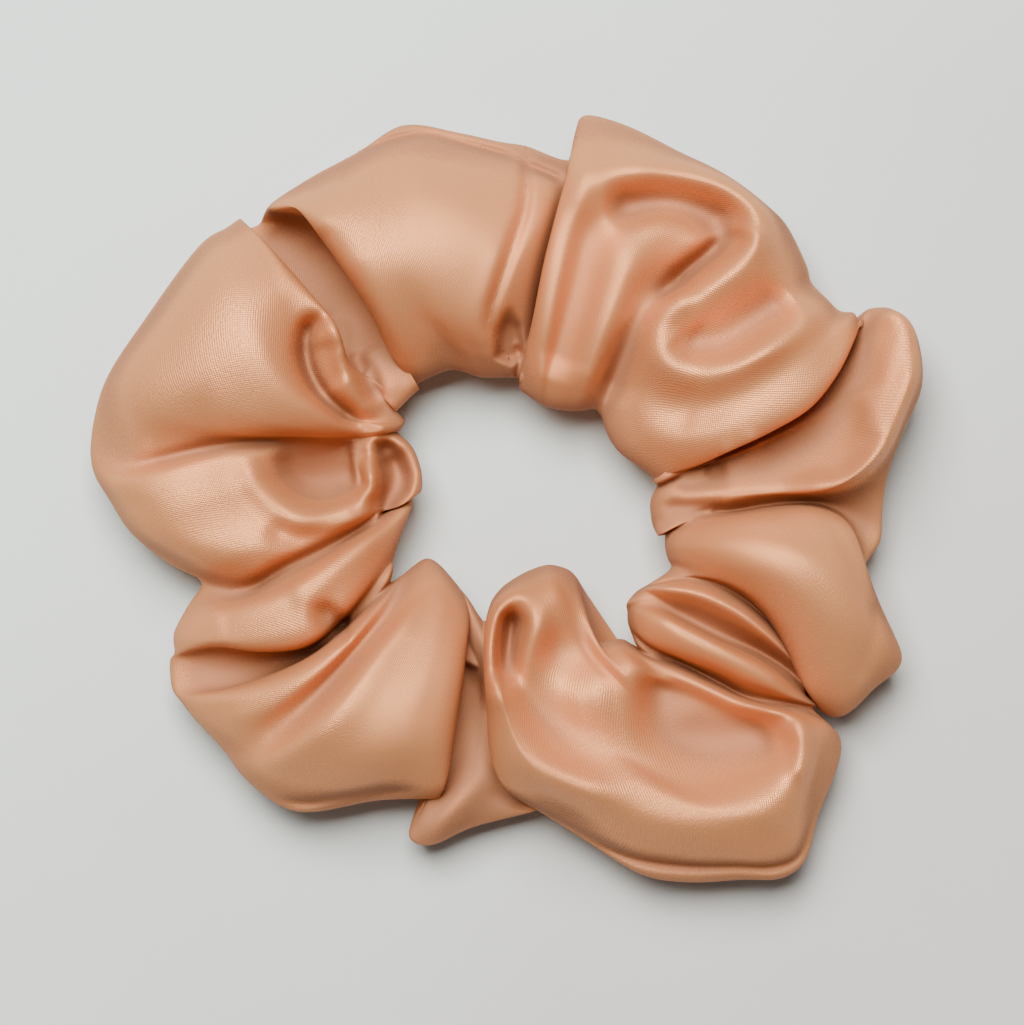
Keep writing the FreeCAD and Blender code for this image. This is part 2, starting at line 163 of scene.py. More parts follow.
    [(17.3, -19.9, 11.5), (19, -21, 15), (22.5, -22.5, 16), (27, -24.8, 17), (32, -27, 18),
     (36.5, -28, 19.5), (39, -28.8, 17.5), (42.5, -30, 13.5), (44.2, -31.8, 9)],
    # furrow
    [(17.2, -19, 9.5), (19.5, -20.2, 12), (23, -21.5, 12.5), (27.5, -23.8, 12.5), (31.5, -26, 12.5),
     (36.5, -26.8, 12.5), (40.5, -27.8, 10)],
    # two narrow rolls with a leaf-shaped hollow between them
    [(16, -16.5, 11), (18, -18.2, 17), (22, -19.6, 19.5), (27, -21.2, 20), (32, -23.5, 19),
     (37, -25.6, 16), (41, -27.2, 10)],
    [(15.9, -15, 11), (17.8, -15, 17.5), (20.5, -15.8, 19.5), (24.5, -17.6, 20), (29, -19.8, 19.5),
     (34, -22.3, 17), (39.6, -26, 10)],
    [(16.2, -13.5, 11), (18.4, -12.9, 15), (22.5, -15, 12.2), (28, -17.8, 11), (33, -20, 9),
     (37, -22.5, 8.5), (39.6, -24.8, 8.5)],
    [(17.3, -12, 11), (20.3, -11.6, 17.5), (25, -12.4, 19), (30, -14.7, 18.5), (34, -17.7, 17),
     (37, -20.5, 14), (39.2, -23, 9)],
    [(19.5, -10.9, 10.5), (23.5, -10.4, 14), (27.5, -11.2, 14), (31, -13, 12.5), (34.5, -16, 11),
     (37, -19, 10), (38.8, -21.5, 9.5)],
    # right puff
    [(21.8, -9, 11), (25, -9.8, 15.5), (29.5, -10.9, 18.5), (33.5, -13.3, 19.5), (36.6, -17, 19),
     (38.6, -21.5, 17), (39.8, -25.5, 14), (41.2, -27.6, 9.5)],
    [(21.3, -7.8, 11), (25.5, -8.1, 18), (30.5, -8.8, 22), (36, -11, 23.5), (40.5, -15, 22.5),
     (43.5, -19.5, 20), (44.8, -24, 16.5), (44.5, -28.7, 9.5)],
    [(20.9, -6.3, 11), (25.5, -6.2, 19), (31, -6.2, 23), (37.5, -8, 24.5), (42.8, -12, 23),
     (46.3, -17, 20), (48, -21.5, 16), (48.6, -25, 9.5)],
    [(20.9, -5, 11), (25.5, -4.5, 18), (31, -4.3, 21.5), (37.5, -5.3, 22.5), (43, -8, 21.5),
     (46.5, -12.5, 19), (49.6, -17.5, 15.5), (52.3, -21.4, 9.5)],
    [(21, -4.2, 10.5), (25, -3, 15), (30, -2.3, 17.5), (35.5, -1.7, 18), (41, -1.8, 17.5),
     (45, -3.8, 16.5), (46.6, -7.5, 13), (46.9, -10.6, 9.5)],
    # furrow
    [(20.3, -4.6, 9), (25, -2.2, 10.5), (30, -1.5, 11), (36, -0.6, 11), (41.5, -0.6, 10.5),
     (46, -2.5, 10), (49.5, -5.5, 9)],
    # the ear at the right: a low roll, its rim, and the deep pocket behind the rim
    [(19.4, -3.5, 11), (23.5, -1.6, 14), (29, -0.4, 15), (36, 0.4, 14), (42, 0.6, 13.5),
     (47.5, 0.8, 12), (49.6, -2.2, 9.5)],
    [(19, -1.8, 11), (23, -0.1, 15), (29, 1, 16), (37, 1.3, 16.5), (43, 1.8, 18.5), (47.5, 4.6, 19.5),
     (50, 6.6, 16.5), (50.4, 3.8, 9.5)],
    [(18.9, -0.6, 11), (22.5, 1, 15), (28, 2.6, 14.5), (36, 3.8, 14.5), (43.5, 5.6, 17),
     (49, 9.3, 19.5), (52, 12.3, 17), (52.7, 9.6, 9.5)],
    [(19.2, 0.6, 11), (22, 2, 14), (28, 4.6, 12), (36, 7.2, 11.5), (44, 10.5, 14), (50, 15, 18.5),
     (53.3, 17.5, 17), (54.8, 15, 9.5)],
    [(19.8, 1.6, 11), (23, 3, 12), (29, 5.6, 12.5), (37, 9.2, 12.5), (45, 14.5, 13.5), (50.2, 20, 17),
     (52.3, 22.8, 17), (53.8, 21.5, 10)],
    [(20, 2, 10), (24, 4, 10.5), (30, 7, 11), (38, 11.4, 11), (44.6, 17.2, 12), (48.3, 22, 14.5),
     (50, 24.2, 16), (51, 24.9, 10)],
    [(19.5, 2.5, 10), (24, 6, 9.5), (31, 9, 10), (38, 12.6, 10), (43.6, 17.6, 10.5), (46.3, 22, 11),
     (47.5, 24.4, 12), (48, 25.2, 9.5)],
    # upper right puff: lip over the ear, shallow furrow, crest, spoon-shaped hollow
    [(19.3, 2.8, 11.5), (24, 4, 16), (29, 6.2, 19), (34.5, 8.8, 20.5), (39.6, 12, 20.8),
     (43, 16.2, 19.5), (45.2, 20.4, 17), (46.4, 23.4, 11)],
    [(17.5, 4.2, 11.5), (22, 6.5, 18), (28, 9, 21.5), (34, 12.2, 22.5), (38.8, 15.8, 22),
     (42.4, 19.6, 19.5), (44.8, 23.2, 16), (45.9, 24.6, 10.5)],
    [(15.5, 5.6, 11.5), (19, 9, 18), (25, 12.3, 20), (31.5, 15.4, 21.5), (37.6, 19, 21.5),
     (41.8, 22, 18), (44, 24.8, 10)],
    [(14, 7.2, 11.5), (17, 11.5, 17.5), (22.5, 17.3, 22), (28, 18, 24), (34, 20, 23.5),
     (39.5, 23.8, 19.5), (42.3, 26.4, 10)],
    [(13, 9.2, 11.5), (15.2, 13.5, 17), (19.5, 19.5, 21), (24, 23, 22), (30, 24.3, 22.5),
     (36.5, 26, 20), (40.2, 28.6, 10)],
    [(12.5, 10.8, 10.5), (13.7, 14.8, 15), (16, 19.5, 18.5), (19.5, 24.5, 21.5), (24, 27.5, 23),
     (31, 30, 23), (36.5, 30.5, 18.5), (39.6, 30.8, 10)],
    # top puff: a crest that hooks round a long hollow, then two soft ridges
    [(11.5, 11.9, 11.5), (12.5, 16, 17.5), (15.5, 22, 20), (19.5, 26.5, 21), (25, 30.3, 22.5),
     (31, 33.8, 23.5), (35, 35, 18.5), (37, 36, 10)],
    [(9.8, 11.6, 11.5), (10.8, 15, 18), (13.8, 21.5, 21), (18, 27.5, 20.5), (22.5, 31.5, 19.5),
     (27, 35, 20), (32, 37.2, 20.5), (34.5, 38.4, 10)],
    [(8.2, 11.6, 11.5), (9, 15, 18), (11.5, 22, 22), (14.5, 29, 22.5), (18.5, 35, 21.5),
     (23, 39, 21.5), (27, 41, 20), (28.5, 42.9, 10)],
    [(6.5, 11.8, 11.5), (7.2, 15, 17.5), (9, 22, 21), (11.3, 30, 22), (13.5, 36.5, 21.5),
     (16.5, 40, 21.5), (19.5, 42.5, 20), (22.5, 46, 10)],
    [(5, 12.2, 11.5), (5.5, 15.5, 17), (7, 22, 20.5), (8.8, 30, 22), (10.5, 36, 22), (12.3, 41, 21.5),
     (14.5, 45.5, 17.5), (16, 49.3, 9.5)],
    [(3.8, 12.9, 11.5), (4.2, 16, 17.5), (5.3, 22, 21.5), (6.9, 30, 23), (8.6, 37, 22.5),
     (9.8, 42, 21.5), (11, 46.5, 16.5), (11, 50.8, 9.5)],
    [(1.8, 14.4, 11.5), (2.2, 17.5, 15), (3.4, 23, 19), (4.9, 31, 21), (6.4, 37, 20.5), (8, 43, 18),
     (8.7, 47, 14.5), (9.4, 49.9, 9.5)],
    # furrow, and the cloth right of the closing seam
    [(2.2, 15.8, 9), (3, 20, 10), (4.5, 25, 11), (6.5, 32, 12), (8.3, 38, 12), (10, 43, 10.5),
     (10.5, 46, 8.5)],
    [(1.4, 16, 10.5), (1.9, 19.5, 13.5), (2.4, 24, 17), (3.5, 30, 19.8), (5.1, 36, 19.8),
     (6.6, 41.5, 16), (7.6, 44.8, 9)],
]
OVER, UNDER = 104, 44          # points of each ring over the top, and underneath
RING_STEP = 0.6                # widest gap between two rings along the tube
LOOP = np.array([3.3, 0.9])    # middle of the hair loop
DEEP = 13                      # a fold line lower than this is a furrow


def curve_through(points, knots, places, period=None):
    """A smooth curve through the points at their knots, read at places. It is closed when its
    period is given."""
    points = np.asarray(points, float)
    if period:
        points = np.concatenate([points[-2:], points, points[:3]])
        knots = np.concatenate([knots[-2:] - period, knots, knots[:3] + period])
    spans = np.diff(knots)
    shape = (-1,) + (1,) * (points.ndim - 1)
    slopes = np.diff(points, axis=0) / spans.reshape(shape)
    ahead, behind = spans[1:].reshape(shape), spans[:-1].reshape(shape)
    tangents = (slopes[:-1] * ahead + slopes[1:] * behind) / (ahead + behind)
    tangents = np.concatenate([slopes[:1], tangents, slopes[-1:]])
    at = np.clip(np.searchsorted(knots, places, side="right") - 1, 0, len(spans) - 1)
    width = spans[at].reshape(shape)
    t = ((places - knots[at]) / spans[at]).reshape(shape)
    start, end = points[at], points[at + 1]
    return (
        start * (1 + 2 * t) * (1 - t) ** 2
        + end * t * t * (3 - 2 * t)
        + tangents[at] * width * t * (1 - t) ** 2
        - tangents[at + 1] * width * t * t * (1 - t)
    )


def even(points, count):
    """The same line, with count points spread evenly along it. Its last point is left out,
    since the next part of the ring starts there."""
    run = np.r_[0, np.cumsum(np.linalg.norm(np.diff(points, axis=0), axis=1))]
    places = np.linspace(0, run[-1], count + 1)[:-1]
    return np.stack([np.interp(places, run, points[:, k]) for k in range(3)], 1)


def ring_of(fold):
    """One closed ring of the tube: over the top along the fold, then back underneath."""
    top = np.array(fold, float)
    furrow = top[1:-1, 2].mean() < DEEP
    low = 2.5 if furrow else 1.0
    if furrow:                 # a furrow climbs over the elastic near the hair loop
        reach = np.linalg.norm(top[:, :2] - LOOP, axis=1)
        near = np.clip((reach[0] + 9 - reach) / 4, 0, 1)
        top[:, 2] = np.maximum(top[:, 2], 6 + 7.6 * near)
    inner, outer = top[0], top[-1]
    under = []
    edge_height = 0.42 * outer[2] + 0.3 * low
    for share, height in ((0.96, edge_height), (0.8, low), (0.5, low), (0.2, low * 0.6), (0.05, 4)):
        x, y = inner[:2] * (1 - share) + outer[:2] * share
        under.append((x, y, height))
    loop = np.concatenate([top, under])
    gaps = np.linalg.norm(np.diff(np.concatenate([loop, loop[:1]]), axis=0), axis=1) ** 0.6
    knots = np.r_[0, np.cumsum(gaps)]
    period, knots = knots[-1], knots[:-1]
    last = len(top) - 1
    over = curve_through(loop, knots, np.linspace(0, knots[last], 600), period)
    below = curve_through(loop, knots, np.linspace(knots[last], period, 400), period)
    return np.concatenate([even(over, OVER), even(below, UNDER)])


rings = np.array([ring_of(fold) for fold in FOLDS])
apart = np.linalg.norm(np.roll(rings, -1, axis=0) - rings, axis=2)
gaps = np.sqrt(apart.mean(axis=1))
knots = np.r_[0, np.cumsum(gaps)]
counts = np.maximum(4, np.ceil(apart.max(axis=1) / RING_STEP).astype(int))
places = np.concatenate([
    np.linspace(knots[i], knots[i + 1], counts[i], endpoint=False) for i in range(len(FOLDS))
])
tube = curve_through(rings, knots[:-1], places, knots[-1])


def smoothed(grid):
    """The grid of points, each drawn halfway to its neighbours, lengthwise and crosswise."""
    grid = grid * 0.5 + (np.roll(grid, 1, axis=0) + np.roll(grid, -1, axis=0)) * 0.25
    return grid * 0.5 + (np.roll(grid, 1, axis=1) + np.roll(grid, -1, axis=1)) * 0.25


for _ in range(3):
    tube = smoothed(tube)

# Smaller ridges (+) and furrows (-) pressed into the top: height, width, line.
STROKES = [
    # pleat at the lip of the upper left puff, and where it is gathered in
    (-5.5, 0.8, [(-23.9, 23.6), (-26, 21.9), (-26.2, 18.2), (-24.6, 14.4), (-21.6, 11.5),
                 (-18.7, 9.6)]),
    (-1.4, 2.4, [(-24.2, 20.5), (-23.8, 17.5), (-22, 14.5)]),
    (2.2, 1.2, [(-23.3, 24), (-22, 21.4), (-21.2, 18), (-20.2, 14.8), (-18.3, 12.2), (-16.3, 11.2)]),
    (-2.2, 1.0, [(-20.4, 19.5), (-18.4, 15.5), (-16.8, 12.6)]),
    (1.6, 1.0, [(-18.4, 20), (-16.4, 16.8), (-15, 13.4)]),
    (-0.9, 3.2, [(-48, 8.2), (-43, 9.4), (-37, 10.2)]),
    # square dent and its rim
    (2.0, 1.6, [(-34, 6.2), (-32.4, 2.2), (-29.8, -0.6), (-26.6, -2.2), (-23.1, -2.4), (-20.1, -0.9),
                (-18.9, 1.2)]),
    (-1.8, 1.3, [(-31.5, -3.6), (-27.4, -4.9), (-23.1, -4), (-19.8, -2.5), (-18, -0.9)]),
    (-3.4, 1.2, [(-19.6, 6.6), (-19.4, 4.2), (-19.6, 1.2)]),
    # the small loop of cloth beside it
    (3.0, 1.0, [(-18.2, -0.3), (-17.8, 1.9), (-18.3, 4.5), (-17.8, 7.1), (-15.9, 8.7), (-13.5, 7.6),
                (-11.6, 4.9), (-11.2, 2.3),
                (-12.6, -0.1)]),
    (-3.4, 1.2, [(-15.6, 6), (-14.7, 3.8), (-15, 1.6), (-16.4, -0.5), (-18, -1.8)]),
    (1.4, 1.1, [(-17.2, -2.1), (-20.1, -3.3), (-24.1, -5.6), (-29, -8), (-35, -10.2)]),
    (-2.6, 0.7, [(-14.8, -0.9), (-17.2, -2.9), (-20.1, -4.6), (-23.9, -6.6), (-29.1, -8.9),
                 (-33.1, -11.3), (-36, -12)]),
    # crease across the left side
    (-1.5, 0.7, [(-49.8, 3.9), (-44.6, 5.3), (-39.4, 6.6), (-33.5, 7.3), (-26.8, 7.6), (-20.5, 7.5)]),
    # the seam puff
    (0.5, 1.4, [(0, 33), (-1.5, 29), (-2.9, 24), (-3.1, 21), (-2.6, 18.6)]),
    (1.4, 1.5, [(-33.2, 36), (-30, 37.4), (-27, 37.6), (-24.8, 36), (-23.6, 33.6)]),
    (-0.7, 3.0, [(-23, 41.6), (-17, 40.4), (-12, 40)]),
    (0.7, 2.4, [(-20, 33), (-15, 25), (-10, 18.5)]),
    (-2.0, 0.5, [(-20, 45.5), (-15, 47.3), (-10.5, 48.2), (-5, 46.7), (0, 45.2), (2.3, 44.3)]),
    (-2.0, 0.5, [(2.5, 43.9), (5, 42.9), (7.5, 41.8)]),
    (-1.3, 0.5, [(2.5, 46.5), (2.5, 44.2), (2.6, 41), (2.3, 37.5), (1.2, 34), (0, 30.5), (-1, 27.5),
                 (-1.8, 25), (-2.2, 22.5)]),
    # top puff: the crest hooks round a hollow and runs on round the bowl of the next puff
    (2.6, 2.5, [(9.2, 37), (11.2, 41), (15.9, 42.4), (21.3, 42.5), (27.5, 41.2), (31.2, 38.9),
                (32.6, 36.4), (32, 33.4),
                (29.3, 30.8), (25.4, 28.4), (21.4, 25.4), (19.2, 22.6), (19.6, 19.6), (22, 17.2),
                (25.6, 16), (29.9, 16.6),
                (34.5, 19.6), (39.2, 23.6), (42.5, 26.4)]),
    (-6.2, 2.0, [(13, 37.6), (18.5, 38.9), (23, 38.7), (27, 37.2), (29.4, 34.8)]),
    (-4.4, 0.9, [(28.6, 34.2), (26, 31.8), (23, 29.4), (19.8, 26.2)]),
    (-5.4, 1.7, [(29.9, 35.4), (28.7, 32.8), (25.6, 30.3), (21.6, 27.4)]),
    (-3.2, 1.8, [(23, 29.8), (19.3, 26.5), (16.8, 22.2), (14.8, 17.6), (13, 12.5)]),
    (-2.6, 2.4, [(12.2, 37.5), (10.8, 33.6), (10, 28.2), (8.1, 21.2), (6.1, 15.4)]),
    (1.2, 3.0, [(16.5, 34), (14.6, 27), (11.8, 19), (10, 13)]),
    # the bowl below it
    (-4.0, 2.3, [(22.4, 21.6), (24, 20.2), (26.4, 20), (29, 20.8), (33, 23.6), (37, 26.6)]),
    (-0.8, 2.6, [(16.5, 15.5), (20.3, 13.4), (25, 11.8)]),
    # ear
    (2.0, 1.3, [(53.4, 20), (52.9, 15), (50.8, 10), (48.4, 5.8), (45.4, 2.8), (42.4, 1.8), (36, 1.4)]),
    (1.3, 1.5, [(45.5, 14.5), (47.6, 11), (47.6, 8)]),
    (1.6, 1.2, [(28, 5.0), (31, 5.6), (33.5, 7.6)]),
    (-2.0, 1.2, [(22.5, 1.8), (26, 2.8), (29, 3.4)]),
    (-1.2, 0.8, [(20.5, -0.9), (25, -0.9), (29, -1)]),
    # right puff
    (-0.8, 1.0, [(48.3, -13), (47.7, -18), (46.8, -21), (46.3, -24)]),
    # rolls beside the hair loop at the right
    (1.4, 1.8, [(18.2, -13.8), (20.2, -15), (23.5, -17), (28, -19.3), (33, -21.6), (38, -24.8)]),
    (1.5, 1.0, [(18.5, -20.6), (21.5, -22.1), (25.5, -24.3), (30, -26.8), (32.4, -27.4), (37, -28)]),
    (-1.8, 0.8, [(19.5, -20.6), (24, -22.6), (28.5, -24.8), (31.6, -26.4)]),
    # large bottom puff
    (2.2, 1.3, [(1.2, -12.8), (-1.4, -14.2), (-2.2, -17), (-2.4, -20), (-1.8, -24), (-1.2, -28)]),
    (1.7, 1.9, [(1.2, -12.8), (3.2, -13.9), (3.6, -16.8), (2.4, -20), (0.8, -23.6), (0.1, -27),
                (1.3, -30.8), (5, -34.8), (10.5, -37.4), (17, -38.4)]),
    (-4.2, 1.4, [(1, -14.8), (0.8, -17), (0.1, -20.4), (-0.7, -23.8)]),
    (-2.4, 1.8, [(5.4, -18.6), (8.2, -20.6), (11.6, -19.4)]),
    (1.4, 3.4, [(8, -25.5), (13, -24.5)]),
    (-2.6, 2.0, [(20.2, -23.6), (19.8, -26.6), (20.2, -30), (22.5, -32.6)]),
    (-2.8, 2.8, [(22.5, -30.6), (26, -32.4), (31, -32), (35, -31.2)]),
    (1.4, 1.2, [(37, -28), (38.3, -29.6), (38.5, -32.8), (38.1, -37)]),
    (-2.4, 0.7, [(-1, -38.8), (4, -41.6), (9, -44.3), (13, -46), (18, -47.6), (24, -48.3),
                 (30, -48.2), (35, -48.4), (38.4, -47.2),
                 (40, -43.6), (41, -40.6)]),
    # bottom left puff
    (-0.9, 2.6, [(-34.3, -32.2), (-26.8, -26.3), (-18.7, -18.2), (-14.2, -14)]),
    (0.8, 1.8, [(-33, -37.2), (-26.8, -31.9), (-21.6, -26.7), (-17.2, -20.7), (-12.7, -16.3),
                (-9.8, -13.6)]),
    (1.2, 1.3, [(-42.8, -26.6), (-36.5, -25.5), (-29, -23.3), (-23.1, -19.8), (-17.2, -14.6)]),
    (-1.6, 0.7, [(-31, -40), (-27, -40), (-23.1, -39.4), (-17.2, -38.4), (-11.2, -38)]),
    # lower left puff
    (-3.8, 1.2, [(-23.2, -13.6), (-23.4, -15), (-22, -16.4), (-20.4, -16.2)]),
    (-1.0, 2.4, [(-38, -15), (-32, -14.2), (-27, -12)]),
]
# Dents with a clear edge: depth, softness of the edge, outline. The square dent, the small
# loop of cloth beside it, and the pocket at the inner end of the closing seam.
DENTS = [
    (2.8, 1.6, [(-20.6, 7.4), (-20.8, 0.6), (-24, -0.2), (-27, 0.8), (-29.2, 2.8), (-29.8, 5),
                (-28.6, 7)]),
    (3.6, 0.9, [(-17.2, 7.2), (-15.4, 7.6), (-13.4, 6), (-12.4, 3.2), (-13.2, 1), (-15.2, -1.2),
                (-17.2, -2.4), (-17.2, -0.6), (-16.4, 1.6), (-16.6, 4)]),
    (3.5, 0.7, [(-1.2, 18.6), (-1.1, 22), (0.3, 24.5), (1.6, 22.5), (2.0, 19), (0.6, 18)]),
]
top_part = tube[:, :OVER]
plan = top_part[..., :2].reshape(-1, 2)


def off_line(points, line):
    """How far each point lies from a line, and how far along the line that is, 0 to 1."""
    line = np.array(line, float)
    lengths = np.linalg.norm(np.diff(line, axis=0), axis=1)
    best, along, run = np.full(len(points), 1e9), np.zeros(len(points)), 0.0
    for start, end, length in zip(line, line[1:], lengths):
        t = np.clip((points - start) @ (end - start) / length**2, 0, 1)
        gap = np.linalg.norm(points - start - t[:, None] * (end - start), axis=1)
        closer = gap < best
        best = np.where(closer, gap, best)
        along = np.where(closer, (run + t * length) / lengths.sum(), along)
        run += length
    return best, along


lift = np.zeros(len(plan))
for height, width, line in STROKES:
    line = np.array(line, float)
    count = len(line)
    smooth = curve_through(line, np.arange(count) * 1.0, np.linspace(0, count - 1, 5 * count))
    reach = 3 * width
    close = np.all((plan > line.min(axis=0) - reach) & (plan < line.max(axis=0) + reach), axis=1)
    near, along = off_line(plan[close], smooth)
    taper = np.clip(np.minimum(along, 1 - along) * 6 + 0.15, 0, 1)
    lift[close] += height * taper * np.exp(-((near / (width * 1.25)) ** 2))
for depth, soft, border in DENTS:
    line = np.array(border + border[:1], float)
    close = np.all((plan > line.min(axis=0) - 3) & (plan < line.max(axis=0) + 3), axis=1)
    spots = plan[close]
    near, along = off_line(spots, line)
    inside = np.zeros(len(spots), bool)
    for (x0, y0), (x1, y1) in zip(line, line[1:]):
        crosses = (y0 > spots[:, 1]) != (y1 > spots[:, 1])
        where = x0 + (spots[:, 1] - y0) / (y1 - y0 + 1e-9) * (x1 - x0)
        inside ^= crosses & (spots[:, 0] < where)
    t = np.clip(np.where(inside, near, -near) / soft * 0.5 + 0.5, 0, 1)
    lift[close] -= depth * t * t * (3 - 2 * t)
edge = np.linspace(0, 1, OVER)
fade = np.clip(np.minimum(edge, 1 - edge) * 14, 0, 1)
tube[:, :OVER, 2] += lift.reshape(top_part.shape[:2]) * fade

# The elastic lies close to the hair loop inside the tube, and the cloth over it can't sink
# below it: its radius at each degree follows the cover's inner edge.
BAND_OFF, BAND_LEAST = 2.6, 20.5
inner_edge = np.concatenate([tube[:, :5], tube[:, -4:]], axis=1)[..., :2] - LOOP
turns = np.degrees(np.arctan2(inner_edge[..., 1], inner_edge[..., 0])) % 360
reach = np.linalg.norm(inner_edge, axis=2)
wide = np.array([
    np.where(np.abs((turns - turn + 180) % 360 - 180) < 7, reach, 0).max() for turn in range(360)
])
band_radius = np.maximum(wide + BAND_OFF, BAND_LEAST)
weights = np.exp(-((np.arange(-30, 31) / 9) ** 2) / 2)
band_radius = np.convolve(np.tile(band_radius, 3), weights / weights.sum(), "same")[360:720]

# where the cloth lies smooth: middle and reach of each place
SMOOTH_PLACES = [
    (8.5, -22, 6), (23, -31, 7), (13.5, 31, 5.5), (19.6, 3.2, 3.4), (-16.2, -2.6, 2),
    (-44.5, -20.5, 2.5), (-14.5, 15.5, 2), (-4.5, -19, 3), (47.2, 24, 1.6),
]
calm = np.zeros(tube.shape[:2])
for x, y, reach in SMOOTH_PLACES:
    gap = np.linalg.norm(tube[..., :2] - (x, y), axis=2)
    calm = np.maximum(calm, np.exp(-((gap / reach) ** 2)))
calm[:, OVER:] = 0
for _ in range(24):
    softer = sum(np.roll(tube, way, axis) for way in (1, -1) for axis in (0, 1)) / 4
    tube = tube + (softer - tube) * 0.6 * calm[..., None]

# fine gathers underneath, where the cloth is drawn up
GATHER = 0.24
steps = np.linalg.norm(np.roll(tube, -1, axis=0) - tube, axis=2).mean(axis=1)
run = np.cumsum(steps)[:, None] * (2 * math.pi / steps.sum())
slant = np.linspace(0, 4.5, OVER + UNDER)[None, :]
pucker = np.sin(run * 61 + 2.2 * np.sin(run * 7 + slant) + slant)
pucker = pucker + 0.6 * np.sin(run * 97 + 1.7 * np.sin(run * 11))
share = np.zeros(OVER + UNDER)
share[OVER + 7:-9] = 1
share = np.convolve(np.tile(share, 3), np.ones(9) / 9, "same")[OVER + UNDER:2 * (OVER + UNDER)]
inward = tube.mean(axis=1, keepdims=True) - tube
inward /= np.linalg.norm(inward, axis=2, keepdims=True)
tube = tube + inward * (GATHER * (pucker + 1.6) * share[None, :])[..., None]

# the cloth's roof over the elastic
ROOF, ROOF_HALF_WIDTH = 12.6, 2.6
flat_turns = np.degrees(np.arctan2(tube[..., 1] - LOOP[1], tube[..., 0] - LOOP[0])) % 360
off_band = np.linalg.norm(tube[..., :2] - LOOP, axis=2) - 0.6
off_band -= np.interp(flat_turns, np.arange(361), np.r_[band_radius, band_radius[:1]])
roof = ROOF * np.clip((ROOF_HALF_WIDTH - np.abs(off_band)) / 0.8, 0, 1)
tube[:, 4:OVER, 2] = np.maximum(tube[:, 4:OVER, 2], roof[:, 4:OVER])
tube = smoothed(tube)
FLOOR_GAP = 0.35               # the cloth's own thickness lies under its outer face
tube[..., 2] = np.maximum(tube[..., 2], FLOOR_GAP)


def blurred(grid, sigma):
    """The grid, softened by sigma cells."""
    reach = np.arange(-3 * sigma, 3 * sigma + 1)
    weights = np.exp(-((reach / sigma) ** 2) / 2)
    weights /= weights.sum()
    for axis in (0, 1):
        grid = np.apply_along_axis(lambda row: np.convolve(row, weights, "same"), axis, grid)
    return grid


# How deep each point lies in a fold, 0 to 1: below the cloth round it, or on a steep side. The
# satin's colour darkens with it: painted shade in the folds and hollows and on the steep sides.
# The cloth round it is read from a map of the top's heights, SPAN to each side of the middle.
CELL, SPAN = 0.5, 60
across_map = int(2 * SPAN / CELL)
cells = np.clip(((tube[:, :OVER, :2] + SPAN) / CELL).astype(int), 0, across_map - 1)
heights = np.zeros((across_map, across_map))
np.maximum.at(heights, (cells[..., 0].ravel(), cells[..., 1].ravel()), tube[:, :OVER, 2].ravel())
covered = (heights > 0).astype(float)
near_level = blurred(heights, 6) / np.maximum(blurred(covered, 6), 0.05)
wide_level = blurred(heights, 16) / np.maximum(blurred(covered, 16), 0.05)
around_it = np.maximum(near_level, wide_level - 1.2)
below = np.zeros(tube.shape[:2])
below[:, :OVER] = np.clip((around_it[cells[..., 0], cells[..., 1]] - tube[:, :OVER, 2] - 0.2) / 4, 0, 1)
below[:, :OVER] *= 0.25 + 0.75 * np.clip((1 - edge) * 7 - 0.2, 0, 1)
below[:, :OVER] *= 0.4 + 0.6 * np.clip(edge * 8, 0, 1)
FADE = 14                      # points underneath over which the folds' shade runs out
below[:, OVER:OVER + FADE] = below[:, OVER - 1:OVER] * np.linspace(1, 0, FADE)
below[:, -FADE:] = below[:, :1] * np.linspace(0, 1, FADE)
along_tube = np.roll(tube, -1, axis=0) - np.roll(tube, 1, axis=0)
across_tube = np.roll(tube, -1, axis=1) - np.roll(tube, 1, axis=1)
facing = np.cross(across_tube, along_tube)
facing /= np.linalg.norm(facing, axis=2, keepdims=True) + 1e-9
if facing[:, :OVER, 2].mean() < 0:
    facing = -facing
# steep sides are darkened too: painted shade on the slopes
steep = np.clip((0.85 - facing[..., 2]) / 0.85, 0, 1)
fold_depth_and_painted_shade = np.clip(1.45 * below + 0.2 * steep, 0, 1)

rings_round, points_across = tube.shape[:2]
index = np.arange(rings_round * points_across).reshape(rings_round, points_across)
quads = np.stack(
    [index, np.roll(index, -1, 1), np.roll(np.roll(index, -1, 0), -1, 1), np.roll(index, -1, 0)], -1
).reshape(-1, 4)
cover_mesh = bpy.data.meshes.new("cover")
cover_mesh.from_pydata(tube.reshape(-1, 3) / 1000, [], quads.tolist())
cover_mesh.polygons.foreach_set("use_smooth", [True] * len(quads))
# kept on the mesh for the satin's painted shade, and for its roughness and metal in the folds
layer = cover_mesh.attributes.new("fold_depth_and_painted_shade", "FLOAT", "POINT")
layer.data.foreach_set("value", fold_depth_and_painted_shade.astype(np.float32).ravel())
# The strip's own millimetres, for its weave: lengthwise and crosswise.
lengthwise = np.linalg.norm(along_tube[:, ::8], axis=2).mean(axis=1) / 2 * 1.25
crosswise = np.linalg.norm(across_tube[::8], axis=2).mean(axis=0) / 2
u = np.r_[0, np.cumsum(lengthwise)]
v = np.r_[0, np.cumsum(crosswise)]
i, j = np.meshgrid(np.arange(rings_round), np.arange(points_across), indexing="ij")
corners = np.stack([
    np.stack([u[i], v[j]], -1), np.stack([u[i], v[j + 1]], -1),
    np.stack([u[i + 1], v[j + 1]], -1), np.stack([u[i + 1], v[j]], -1),
], 2)
cover_mesh.uv_layers.new(name="strip").data.foreach_set("uv", corners.astype(np.float32).ravel())
cover = bpy.data.objects.new("cover", cover_mesh)
bpy.context.collection.objects.link(cover)


